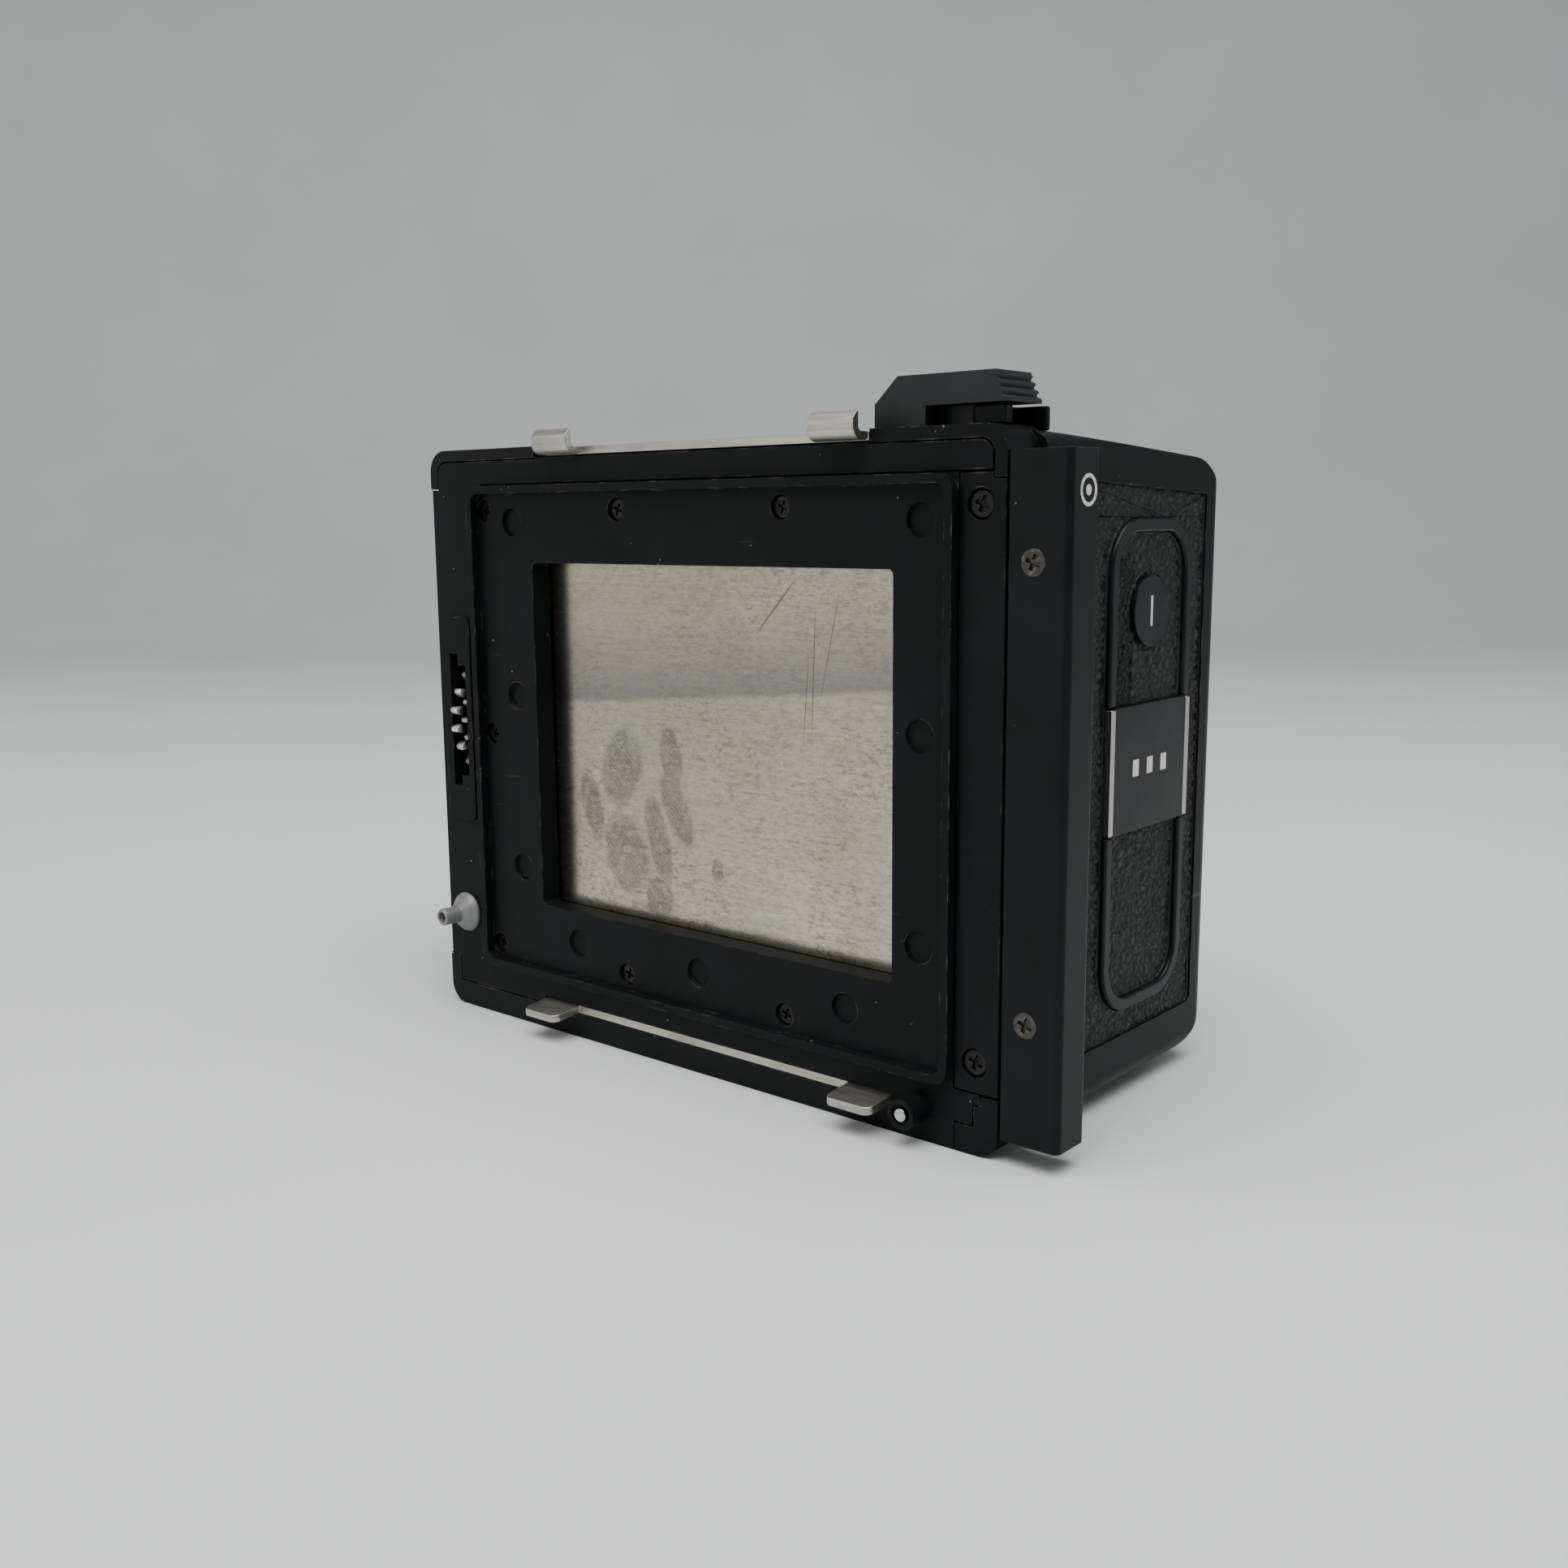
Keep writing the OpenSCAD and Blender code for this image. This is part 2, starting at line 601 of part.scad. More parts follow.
// Bowed leaf spring: its middle bears on the bar and its ends on the plate.
module pressure_spring() color("#9fa1a2") side_slab(gate_x - spring_w / 2, gate_x + spring_w / 2) {
    t = 0.3;
    bow = bar_y - press_y[1] - t;
    r = (spring_half * spring_half + bow * bow) / (2 * bow);
    sweep = asin(spring_half / r);
    c = [bar_y - r, gate_z];
    polygon(concat(arc(c, r, -sweep, sweep), arc(c, r - t, sweep, -sweep)));
}

module gear_plate() color("#8f9193") difference() {
    intersection() {
        box([gear_plate_x[0], 7.3, 4.2], [gear_plate_x[1], 40.3, 69]);
        side_slab(gear_plate_x[0], gear_plate_x[1]) body_profile(wall + 0.3);
    }
    rod_x(drive_at, 1.2 + turn_gap, 5, 10);
    rod_x(idler_at, 1 + turn_gap, 5, 10);
    rod_x(sprocket_at, 1 + turn_gap, 5, 10);
    rod_x(takeup_at, 1.5 + turn_gap, 5, 10);
    rod_x(rewind_at, 1.8 + turn_gap, 5, 10);
    rod_x(counter_at, 0.8 + turn_gap, 5, 10);
}

// ---- gears and spools ----

// One flank of an involute tooth: angle at radius r, from the tooth's middle.
function flank(n, r, m) =
    let (rp = n * m / 2, rb = rp * cos(20), base = (90 - backlash) / n,
         inv = function(x) let (a = acos(min(1, rb / x))) tan(a) * 180 / PI - a)
    base + inv(rp) - inv(max(r, rb));

module gear_2d(n, phase, m) {
    rp = n * m / 2;
    radii = [rp - 1.2 * m, rp - 0.5 * m, rp, rp + 0.5 * m, rp + 0.92 * m];
    polygon([for (i = [0:n - 1]) for (s = [-1, 1]) for (k = [0:4])
        let (r = radii[s < 0 ? k : 4 - k], a = phase + 360 / n * i + s * flank(n, r, m))
            r * [cos(a), sin(a)]]);
}

module gear(at, n, phase, bore, x, m = gear_m) difference() {
    translate([0, at[0], at[1]]) side_slab(x[0], x[1]) gear_2d(n, phase, m);
    rod_x(at, bore, x[0] - 1, x[1] + 1);
}

drive_phase = 180;
idler_phase = mesh_phase(drive_phase, drive_n, idler_n, bearing(drive_at, idler_at));
sprocket_phase = mesh_phase(idler_phase, idler_n, sprocket_n, bearing(idler_at, sprocket_at));
takeup_phase = mesh_phase(sprocket_phase, sprocket_n, takeup_n, bearing(sprocket_at, takeup_at));

module drive_gear() color("#7d7b78") {
    gear(drive_at, drive_n, drive_phase + 180 / drive_n, 1.2, row_1, coupling_m);
    gear(drive_at, drive_n, drive_phase, 1.2, row_2);
    tube_x(drive_at, 3, 1.2, row_1[1], row_2[0]);
}

module drive_shaft() color("#a3a5a6") rod_x(drive_at, 1.2, 0.8, gear_plate_x[1]);

module idler_gear() color("#a08a58") {
    gear(idler_at, idler_n, idler_phase, 0.9, layer_1);
    rod_x(idler_at, 1, 0.8, gear_plate_x[1]);
}

module sprocket_gear() color("#a08a58")
    gear(sprocket_at, sprocket_n, sprocket_phase, 1, [layer_1[0], layer_2[1]]);

module film_sprocket() color("#8a8c8e") {
    rod_x(sprocket_at, 1, 0.8, chassis_wall_x[1][1]);
    rod_x(sprocket_at, 4.6, film_x[0], film_x[1]);
    for (s = [-1, 1]) {
        x = gate_x + s * perforation;
        rod_x(sprocket_at, sprocket_body_r, x - 1.4, x + 1.4);
        for (a = [0:45:315]) translate([x, sprocket_at[0], sprocket_at[1]]) rotate([a, 0, 0])
            translate([-0.9, -0.6, 5]) cube([1.8, 1.2, sprocket_body_r - 5 + 0.85]);
    }
}

module takeup_spool() color("#1c1d1e") difference() {
    union() {
        rod_x(takeup_at, drum_r, film_x[0] - 0.4, film_x[1] + 0.4);
        rod_x(takeup_at, 1.5, left_x - 4.2, chassis_wall_x[1][1]);
    }
    for (a = [0:60:300]) translate([0, takeup_at[0], takeup_at[1]]) rotate([a, 0, 0])
        box([film_x[0] + 2, -0.5, drum_r - 1.6], [film_x[1] - 2, 0.5, drum_r + 1]);
}

module takeup_gear() color("#a08a58") gear(takeup_at, takeup_n, takeup_phase, 1.5, layer_2);

module wind_knob() color("#17191a") difference() {
    union() {
        rod_x(takeup_at, wind_knob_r, left_x - 5, left_x - 0.5);
        rod_x(takeup_at, wind_knob_r - 0.8, left_x - 5.6, left_x - 0.3);
    }
    rod_x(takeup_at, 1.5, left_x - 4.2, left_x + 1);
    for (a = [0:20:340]) translate([0, takeup_at[0], takeup_at[1]]) rotate([a, 0, 0])
        rod_x([0, wind_knob_r + 0.5], 0.9, left_x - 6, left_x);
}

module counter_dial() color("#e6e6e2") {
    rod_x(counter_at, 6.5, 0.8, 1.3);
    rod_x(counter_at, 0.8, 1.3, gear_plate_x[1]);
}

module counter_window() color("#c9d4d6")
    rod_x([counter_at[0], counter_at[1] + 4], 2.2, body_x0 + leather_t - 0.1, body_x0 + wall);

module film_roller() color("#8f9193") {
    rod_x(roller_at, 3, film_x[0] - 0.4, film_x[1] + 0.4);
    rod_x(roller_at, 1, chassis_wall_x[0][0], chassis_wall_x[1][1]);
}

// ---- rewind ----

module rewind_shaft() color("#a3a5a6") difference() {
    union() {
        rod_x(rewind_at, 1.8, left_x - 4.2, 26);
        rod_x(rewind_at, 2.6, 23.6, 25);
    }
    box([24.2, rewind_at[0] - 0.5, 10], [27, rewind_at[0] + 0.5, 30]);
}

module rewind_knob() color("#17191a") difference() {
    union() {
        rod_x(rewind_at, knob_r, knob_x[0], knob_x[1]);
        for (s = [-1, 1]) translate([0, crank_pivot_y, rewind_at[1] + s * 3.1])
            box([crank_x - crank_t / 2, -1, -0.7], [knob_x[0] + 1, 1, 0.7]);
    }
    rod_x(rewind_at, 1.8, left_x - 4.2, left_x + 1);
    // well for the folded grip
    rod_x([grip_y, rewind_at[1]], grip_r + 0.4, knob_x[0] - 1, knob_x[1] - 0.6);
    box([knob_x[0] - 1, grip_y - 6, rewind_at[1] - grip_r - 0.4],
        [knob_x[1] - 0.6, grip_y, rewind_at[1] + grip_r + 0.4]);
    translate([crank_x, crank_pivot_y, rewind_at[1] - 5]) cylinder(r = 0.5, h = 10);
    for (a = [0:20:340]) translate([0, rewind_at[0], rewind_at[1]]) rotate([a, 0, 0])
        rod_x([0, knob_r + 0.5], 0.9, knob_x[0] - 1, knob_x[1] + 1);
}

module crank_pin() color("#a3a5a6")
    translate([crank_x, crank_pivot_y, rewind_at[1] - 3.8]) cylinder(r = 0.5, h = 7.6);

module rewind_crank() color("#1d1f20") difference() {
    union() {
        translate([crank_x - crank_t / 2, 0, 0]) side_slab(0, crank_t)
            rounded([grip_y - 2.6, rewind_at[1] - crank_w / 2],
                    [crank_pivot_y - 1, rewind_at[1] + crank_w / 2], 2);
        translate([crank_x, crank_pivot_y, rewind_at[1] - crank_w / 2])
            cylinder(r = crank_t / 2, h = crank_w);
        box([crank_x - crank_t / 2, crank_pivot_y - 4, rewind_at[1] - crank_w / 2],
            [crank_x + crank_t / 2, crank_pivot_y, rewind_at[1] + crank_w / 2]);
    }
    translate([crank_x, crank_pivot_y, rewind_at[1] - 5]) cylinder(r = 0.5 + turn_gap, h = 10);
    rod_x([grip_y, rewind_at[1]], 0.7 + turn_gap, crank_x - 1, crank_x + 1);
}

module crank_grip() color("#17191a") {
    rod_x([grip_y, rewind_at[1]], grip_r, crank_x + crank_t / 2 + 0.1, knob_x[1] - 1);
    rod_x([grip_y, rewind_at[1]], 0.7, crank_x - crank_t / 2 - 0.15, crank_x + crank_t / 2 + 0.2);
    rod_x([grip_y, rewind_at[1]], 1.2, crank_x - crank_t / 2 - 0.2, crank_x - crank_t / 2 - 0.05);
}

// ---- rear cover ----

module rear_cover() color("#15181a") difference() {
    union() {
        intersection() {
            body_envelope();
            union() {
                box([cover_x[0], cover_y[0], 0], [cover_x[1], cover_y[1], cover_z[1]]);
                difference() {
                    box([cover_x[0], corner_y, 0], [cover_x[1], cover_y[1], cover_z[0] - gap]);
                    intersection() {
                        side_slab(cover_x[0] + 2, cover_x[1] - 2) body_profile(wall);
                        box([0, corner_y - 1, 0], [100, cover_y[0], 20]);
                    }
                }
            }
        }
        for (k = cover_knuckles) {
            rod_x(hinge_at, hinge_r, k[0], k[1]);
            box([k[0], hinge_at[0], hinge_at[1]], [k[1], hinge_at[0] + 1.6, hinge_at[1] + 1.6]);
        }
    }
    for (k = shell_knuckles)
        box([k[0] - hinge_gap, corner_y - 1, -1], [k[1] + hinge_gap, hinge_at[0] + 2.3, 5]);
    for (k = cover_knuckles) rod_x(hinge_at, hinge_pin_r + turn_gap, k[0] - 1, k[1] + 1);
    box([latch_slot[0], cover_y[0] - 1, latch_z[0] - latch_travel + 0.8],
        [latch_slot[1], body_depth, latch_z[1] - 0.8]);
}

module rear_leather() color("#1b1d1e") difference() {
    slab(cover_y[1], cover_y[1] + leather_t)
        rounded([cover_x[0] + 3, 9], [cover_x[1] - 3, cover_z[1] - 2], 3);
    box([latch_x[0] - 0.5, 40, latch_z[0] - latch_travel - 0.5], [latch_x[1] + 0.5, 46, latch_z[1] + 5]);
}

// Holder for the end flap of a film box: a frame with a groove, open at the top.
module memo_frame() color("#1a1c1d") difference() {
    y0 = cover_y[1] + leather_t;
    slab(y0, y0 + 1) rounded([25, 16], [61, 46], 1.2);
    slab(y0 + 0.3, y0 + 0.65) area([26.2, 17.2], [59.8, 50]);
    slab(y0 + 0.3, y0 + 3) area([28, 19.2], [58, 50]);
}

module cover_seals() color("#0e0e0e") for (x = [cover_x[0] + 0.6, cover_x[1] - 2.6])
    box([x, cover_y[0] - 1, 9], [x + 2, cover_y[0], cover_z[1] - 2]);

module cover_latch() color("#17191a") {
    difference() {
        slab(cover_y[1] + 0.15, body_depth + 1.2)
            rounded([latch_x[0], latch_z[0]], [latch_x[1], latch_z[1]], 1);
        for (i = [0:4]) box([latch_x[0] + 1.2, body_depth + 0.9, latch_z[0] + 1 + 0.9 * i],
                            [latch_x[1] - 1.2, body_depth + 2, latch_z[0] + 1.4 + 0.9 * i]);
    }
    box([latch_slot[0] + 0.3, cover_y[0] - 0.35, latch_z[0] + 1],
        [latch_slot[1] - 0.3, cover_y[1] + 0.15, latch_z[1] - 1]);
    box([latch_slot[0] + 0.6, cover_y[0] - 1.3, latch_z[0] + 1],
        [latch_slot[1] - 0.6, cover_y[0] - 0.35, cover_z[1] + 1.3]);
}

// ---- side trim ----

module ring_2d(g) difference() {
    rounded([ring_box[0] - g, ring_box[1] - g], [ring_box[2] + g, ring_box[3] + g], ring_r + g);
    rounded([ring_box[0] + ring_w + g, ring_box[1] + ring_w + g],
            [ring_box[2] - ring_w - g, ring_box[3] - ring_w - g], ring_r - ring_w - g);
}

module label_2d(g) area([ring_box[0] - g, label_z[0] - g], [ring_box[2] + g, label_z[1] + g]);

module side_leather() color("#1b1d1e") side_slab(body_x1 - leather_t - 0.2, body_x1 - 0.2) difference() {
    leather_2d(-0.1);
    ring_2d(0.1);
    label_2d(0.1);
    translate(disc_at) circle(disc_r + 0.5);
}

module left_leather() color("#1b1d1e") side_slab(body_x0, body_x0 + leather_t - 0.1) difference() {
    leather_2d(-0.1);
    translate(takeup_at) circle(3);
    translate(rewind_at) circle(3);
    translate([counter_at[0], counter_at[1] + 4]) circle(2.6);
}

module trim_ring() color("#141617") side_slab(body_x1 - leather_t - 0.2, ring_x) difference() {
    ring_2d(0);
    label_2d(0.05);
}

module format_plate() color("#131516") difference() {
    side_slab(body_x1 - leather_t - 0.2, label_x)
        area([ring_box[0] + 1, label_z[0]], [ring_box[2] - 1, label_z[1]]);
    side_slab(label_x - mark_depth, label_x + 1) squares_2d();
}

// Three squares in a row, like the perforations of the film.
module squares_2d() for (i = [-1:1])
    translate([(ring_box[0] + ring_box[2]) / 2 + 3.1 * i, (label_z[0] + label_z[1]) / 2])
        square([1.3, 1.8], center = true);

module bar_2d() translate(disc_at) square([0.45, 3.2], center = true);

module format_strips() color("#c9cacb") for (y = [ring_box[0] + 0.1, ring_box[2] - 1])
    side_slab(body_x1 - leather_t - 0.2, label_x + 0.1)
        area([y, label_z[0] + 0.1], [y + 0.9, label_z[1] - 0.1]);

module type_disc() color("#141617") difference() {
    side_slab(body_x1 - leather_t - 0.2, disc_x) translate(disc_at) circle(disc_r);
    side_slab(disc_x - mark_depth, disc_x + 1) bar_2d();
}

module side_marks() color("#e8e8e4") {
    side_slab(label_x - mark_depth, label_x - mark_sunk) squares_2d();
    side_slab(disc_x - mark_depth, disc_x - mark_sunk) bar_2d();
}

// ---- the parts ----

centred() outer_shell();
centred() front_plate();
centred() slide_plate();
centred() plate_screws();
centred() slide_plate_screws();
centred() slide_channel();
centred() light_trap_felts();
centred() film_chassis();
centred() film_rails();
centred() gear_plate();
centred() bottom_hooks();
centred() locating_pin();
centred() interlock_sleeve();
centred() lever_guard();
centred() side_leather();
centred() trim_ring();
centred() format_plate();
centred() format_strips();
centred() type_disc();
centred() side_marks();
centred() left_leather();
centred() counter_window();
centred() hinge_pin();
centred() dark_slide_blade();
centred() slide_handle();
centred() index_mark();
centred() handle_screws();
centred() hook_slider();
centred() release_lever();
centred() interlock_pin();
centred() drive_gear();
centred() drive_shaft();
centred() idler_gear();
centred() film_sprocket();
centred() sprocket_gear();
centred() takeup_spool();
centred() takeup_gear();
centred() wind_knob();
centred() counter_dial();
centred() film_roller();
centred() rewind_shaft();
centred() rewind_knob();
centred() crank_pin();
centred() rewind_crank();
centred() crank_grip();
centred() rear_cover();
centred() rear_leather();
centred() memo_frame();
centred() cover_seals();
centred() cover_latch();
centred() pressure_plate();
centred() pressure_spring();
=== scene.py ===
"""Looks of a 35 mm film back: softened casings, painted and brushed metals, leatherette and small hardware."""
import json
import math

import bmesh
import bpy
from mathutils import Matrix, Vector, geometry, noise


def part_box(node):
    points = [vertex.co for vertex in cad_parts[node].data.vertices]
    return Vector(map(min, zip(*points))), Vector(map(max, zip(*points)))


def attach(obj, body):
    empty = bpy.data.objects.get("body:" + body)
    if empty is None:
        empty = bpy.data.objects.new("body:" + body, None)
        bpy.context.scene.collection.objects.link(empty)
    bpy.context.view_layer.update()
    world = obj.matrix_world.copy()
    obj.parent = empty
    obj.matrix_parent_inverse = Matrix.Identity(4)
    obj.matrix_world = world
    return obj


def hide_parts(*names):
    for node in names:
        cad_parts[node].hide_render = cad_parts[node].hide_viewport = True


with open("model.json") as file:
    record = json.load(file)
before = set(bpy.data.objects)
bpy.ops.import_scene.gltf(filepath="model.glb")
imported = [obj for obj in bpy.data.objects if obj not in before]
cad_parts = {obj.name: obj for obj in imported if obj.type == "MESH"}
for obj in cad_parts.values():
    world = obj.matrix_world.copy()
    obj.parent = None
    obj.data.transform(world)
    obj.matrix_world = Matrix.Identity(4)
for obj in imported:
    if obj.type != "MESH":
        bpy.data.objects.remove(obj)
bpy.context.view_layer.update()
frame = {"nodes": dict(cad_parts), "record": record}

MM = 0.001
noise.seed_set(7)                        # the leather's grain is the same in every run
SLOTS = {row["node"]: row["material_slot"] for row in frame["record"]["subparts"]}
BODIES = frame["record"]["behaviour"]["bodies"]
BODY_OF = {node: body for body, nodes in BODIES.items() for node in nodes}

# The plate's own corner: x from its left edge, y from the mating face, z from its foot.
SIDE_STEP = 1.2                          # the casing stands this far past the plate, in millimetres
shell_lo, shell_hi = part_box("outer_shell")
PLATE = Vector((shell_lo.x + SIDE_STEP * MM, shell_lo.y, shell_lo.z))


def at(x, y, z):
    """A point given in millimetres from the plate's corner, in metres in the frame."""
    return PLATE + Vector((x, y, z)) * MM


# ---------------------------------------------------------------- camera, light, floor

CAMERA_AT = at(166.2, -126.2, 63.4)
CAMERA_YAW = 0.706
CAMERA_PITCH = -0.1675
CAMERA_ROLL = -0.008
CAMERA_LENS = 36.15

# The sweep, in metres: floor towards the camera, where its curve begins, the curve, the wall.
SWEEP_FRONT = -1.6
SWEEP_BEND = 0.55
SWEEP_RADIUS = 0.35
SWEEP_HEIGHT = 1.3
SWEEP_HALF_WIDTH = 2.2
SWEEP_STEPS = 16


def make_camera():
    data = bpy.data.cameras.new("camera")
    data.lens = CAMERA_LENS
    data.sensor_width = 36
    data.clip_start = 0.005
    camera = bpy.data.objects.new("camera", data)
    bpy.context.collection.objects.link(camera)
    turn = (Matrix.Rotation(CAMERA_YAW, 4, "Z")
            @ Matrix.Rotation(math.pi / 2 + CAMERA_PITCH, 4, "X")
            @ Matrix.Rotation(CAMERA_ROLL, 4, "Z"))
    camera.matrix_world = Matrix.Translation(CAMERA_AT) @ turn
    bpy.context.scene.camera = camera


def area_light(name, place, aim, size, power, tint=(1, 1, 1)):
    data = bpy.data.lights.new(name, "AREA")
    data.shape = "RECTANGLE"
    data.size, data.size_y = size
    data.energy = power
    data.color = tint
    lamp = bpy.data.objects.new(name, data)
    bpy.context.collection.objects.link(lamp)
    place = Vector(place)
    turn = (Vector(aim) - place).to_track_quat("-Z", "Y").to_matrix().to_4x4()
    lamp.matrix_world = Matrix.Translation(place) @ turn


def make_stage():
    """A pale sweep: floor, a wide curve and a wall, running across the camera's view."""
    line = [(SWEEP_FRONT, 0.0)]
    for i in range(SWEEP_STEPS + 1):
        a = math.pi / 2 * i / SWEEP_STEPS
        line.append((SWEEP_BEND + SWEEP_RADIUS * math.sin(a), SWEEP_RADIUS * (1 - math.cos(a))))
    line.append((SWEEP_BEND + SWEEP_RADIUS, SWEEP_HEIGHT))
    across = Vector((math.cos(CAMERA_YAW), math.sin(CAMERA_YAW), 0))
    back = Vector((-math.sin(CAMERA_YAW), math.cos(CAMERA_YAW), 0))
    bm = bmesh.new()
    rows = [[bm.verts.new(across * side + back * d + Vector((0, 0, h))) for d, h in line]
            for side in (-SWEEP_HALF_WIDTH, SWEEP_HALF_WIDTH)]
    for i in range(len(line) - 1):
        bm.faces.new((rows[0][i], rows[1][i], rows[1][i + 1], rows[0][i + 1]))
    mesh = bpy.data.meshes.new("sweep")
    bm.to_mesh(mesh)
    bm.free()
    mesh.shade_smooth()
    sweep = bpy.data.objects.new("sweep", mesh)
    bpy.context.collection.objects.link(sweep)
    paper = Recipe("backdrop_paper", (0.65, 0.66, 0.665), 0.62)
    paper.tint(paper.noise(9, 3), (0.635, 0.645, 0.65), (0.675, 0.685, 0.69))
    mesh.materials.append(paper.material)


def make_lights():
    area_light("top", (0.12, -0.14, 0.60), (0.06, -0.08, 0), (0.7, 0.6), 7.4)
    area_light("left", (-0.70, -0.78, 0.36), (0, 0, 0.05), (1.3, 0.95), 4.1, (1, 0.985, 0.955))
    area_light("right", (0.85, 0.62, 0.3), (0, 0, 0.05), (0.9, 0.7), 1.8)
    world = bpy.data.worlds.new("room")
    world.use_nodes = True
    background = world.node_tree.nodes["Background"]
    background.inputs["Color"].default_value = (0.72, 0.76, 0.78, 1)
    background.inputs["Strength"].default_value = 0.27
    bpy.context.scene.world = world


# ---------------------------------------------------------------- materials

class Recipe:
    """A principled material and the few node patterns that the finishes below are made of."""

    def __init__(self, name, color, roughness, metallic=0.0, specular=0.5):
        self.material = bpy.data.materials.new(name)
        self.material.use_nodes = True
        self.tree = self.material.node_tree
        self.shader = self.tree.nodes["Principled BSDF"]
        self.shader.inputs["Base Color"].default_value = (*color, 1)
        self.shader.inputs["Roughness"].default_value = roughness
        self.shader.inputs["Metallic"].default_value = metallic
        self.shader.inputs["Specular IOR Level"].default_value = specular
        self.place = self.node("ShaderNodeTexCoord").outputs["Object"]
        self.bump_chain = None

    def node(self, kind, **settings):
        made = self.tree.nodes.new(kind)
        for key, value in settings.items():
            setattr(made, key, value)
        return made

    def feed(self, socket, value):
        if isinstance(value, bpy.types.NodeSocket):
            self.tree.links.new(value, socket)
        else:
            socket.default_value = value

    def stretched(self, x, y, z):
        """Object coordinates scaled per axis, for grain that runs one way."""
        made = self.node("ShaderNodeMapping")
        self.feed(made.inputs["Vector"], self.place)
        made.inputs["Scale"].default_value = (x, y, z)
        return made.outputs["Vector"]

    def noise(self, scale, detail=4, roughness=0.55, where=None):
        made = self.node("ShaderNodeTexNoise")
        self.feed(made.inputs["Vector"], where or self.place)
        made.inputs["Scale"].default_value = scale
        made.inputs["Detail"].default_value = detail
        made.inputs["Roughness"].default_value = roughness
        return made.outputs["Fac"]

    def cells(self, scale):
        made = self.node("ShaderNodeTexVoronoi")
        self.feed(made.inputs["Vector"], self.place)
        made.inputs["Scale"].default_value = scale
        return made.outputs["Distance"]

    def ramp(self, value, low, high, to_low=0.0, to_high=1.0):
        made = self.node("ShaderNodeMapRange")
        made.clamp = True
        for socket, item in zip(made.inputs, (value, low, high, to_low, to_high)):
            self.feed(socket, item)
        return made.outputs["Result"]

    def math(self, operation, a, b=0.0):
        made = self.node("ShaderNodeMath", operation=operation)
        self.feed(made.inputs[0], a)
        self.feed(made.inputs[1], b)
        return made.outputs["Value"]

    def mix(self, factor, a, b):
        made = self.node("ShaderNodeMix", data_type="RGBA")
        self.feed(made.inputs["Factor"], factor)
        for socket, item in ((made.inputs[6], a), (made.inputs[7], b)):
            self.feed(socket, item if isinstance(item, bpy.types.NodeSocket) else (*item, 1))
        return made.outputs[2]

    def color(self, value):
        self.feed(self.shader.inputs["Base Color"], value)

    def tint(self, factor, a, b):
        self.color(self.mix(self.ramp(factor, 0.35, 0.65), a, b))

    def roughness(self, value):
        self.feed(self.shader.inputs["Roughness"], value)

    def metallic(self, value):
        self.feed(self.shader.inputs["Metallic"], value)

    def bump(self, height, strength, depth_mm):
        made = self.node("ShaderNodeBump")
        made.inputs["Strength"].default_value = strength
        made.inputs["Distance"].default_value = depth_mm * MM
        self.feed(made.inputs["Height"], height)
        if self.bump_chain:
            self.feed(made.inputs["Normal"], self.bump_chain)
        self.bump_chain = made.outputs["Normal"]
        self.feed(self.shader.inputs["Normal"], self.bump_chain)

    def edges(self, radius_mm, low=0.02, high=0.25):
        """1 along convex and concave edges, 0 on flats."""
        bevel = self.node("ShaderNodeBevel", samples=4)
        bevel.inputs["Radius"].default_value = radius_mm * MM
        surface = self.node("ShaderNodeNewGeometry")
        dot = self.node("ShaderNodeVectorMath", operation="DOT_PRODUCT")
        self.feed(dot.inputs[0], bevel.outputs["Normal"])
        self.feed(dot.inputs[1], surface.outputs["Normal"])
        return self.ramp(self.math("SUBTRACT", 1.0, dot.outputs["Value"]), low, high)

    def specks(self, scale, size, share):
        """Sparse dots: dust, chips and pinholes."""
        dots = self.ramp(self.cells(scale), size, size * 0.45)
        keep = self.ramp(self.noise(scale * 0.37, 2), 1 - share, 1 - share + 0.03)
        return self.math("MULTIPLY", dots, keep)


def black_paint(name, color, rough, grain, worn, chips=0.6, specular=0.09):
    """Black enamel on metal: fine orange peel, rubbed and chipped along the edges, a little dust."""
    r = Recipe(name, color, rough, specular=specular)
    broad = r.noise(70, 5, 0.6)
    fine = r.noise(2600, 3)
    lighter = tuple(c * 1.5 + 0.002 for c in color)
    base = r.mix(r.ramp(broad, 0.35, 0.7), color, lighter)
    rubbed = r.math("MULTIPLY", r.edges(0.26, 0.015, 0.16), r.ramp(r.noise(330, 5, 0.7), 0.52, 0.66))
    rubbed = r.math("MULTIPLY", rubbed, worn)
    base = r.mix(rubbed, base, (0.17, 0.155, 0.13))
    scuffs = r.ramp(r.noise(420, 3, 0.5, r.stretched(0.12, 0.12, 1)), 0.735, 0.76, 0, 0.12 * worn)
    base = r.mix(scuffs, base, (0.3, 0.3, 0.29))
    dust = r.math("MULTIPLY", r.specks(1150, 0.17, 0.33), chips)
    r.color(r.mix(dust, base, (0.26, 0.26, 0.25)))
    r.metallic(r.math("MULTIPLY", rubbed, 0.7))
    r.roughness(r.ramp(broad, 0.3, 0.7, rough - 0.05, rough + 0.07))
    r.bump(fine, grain, 0.012)
    return r.material


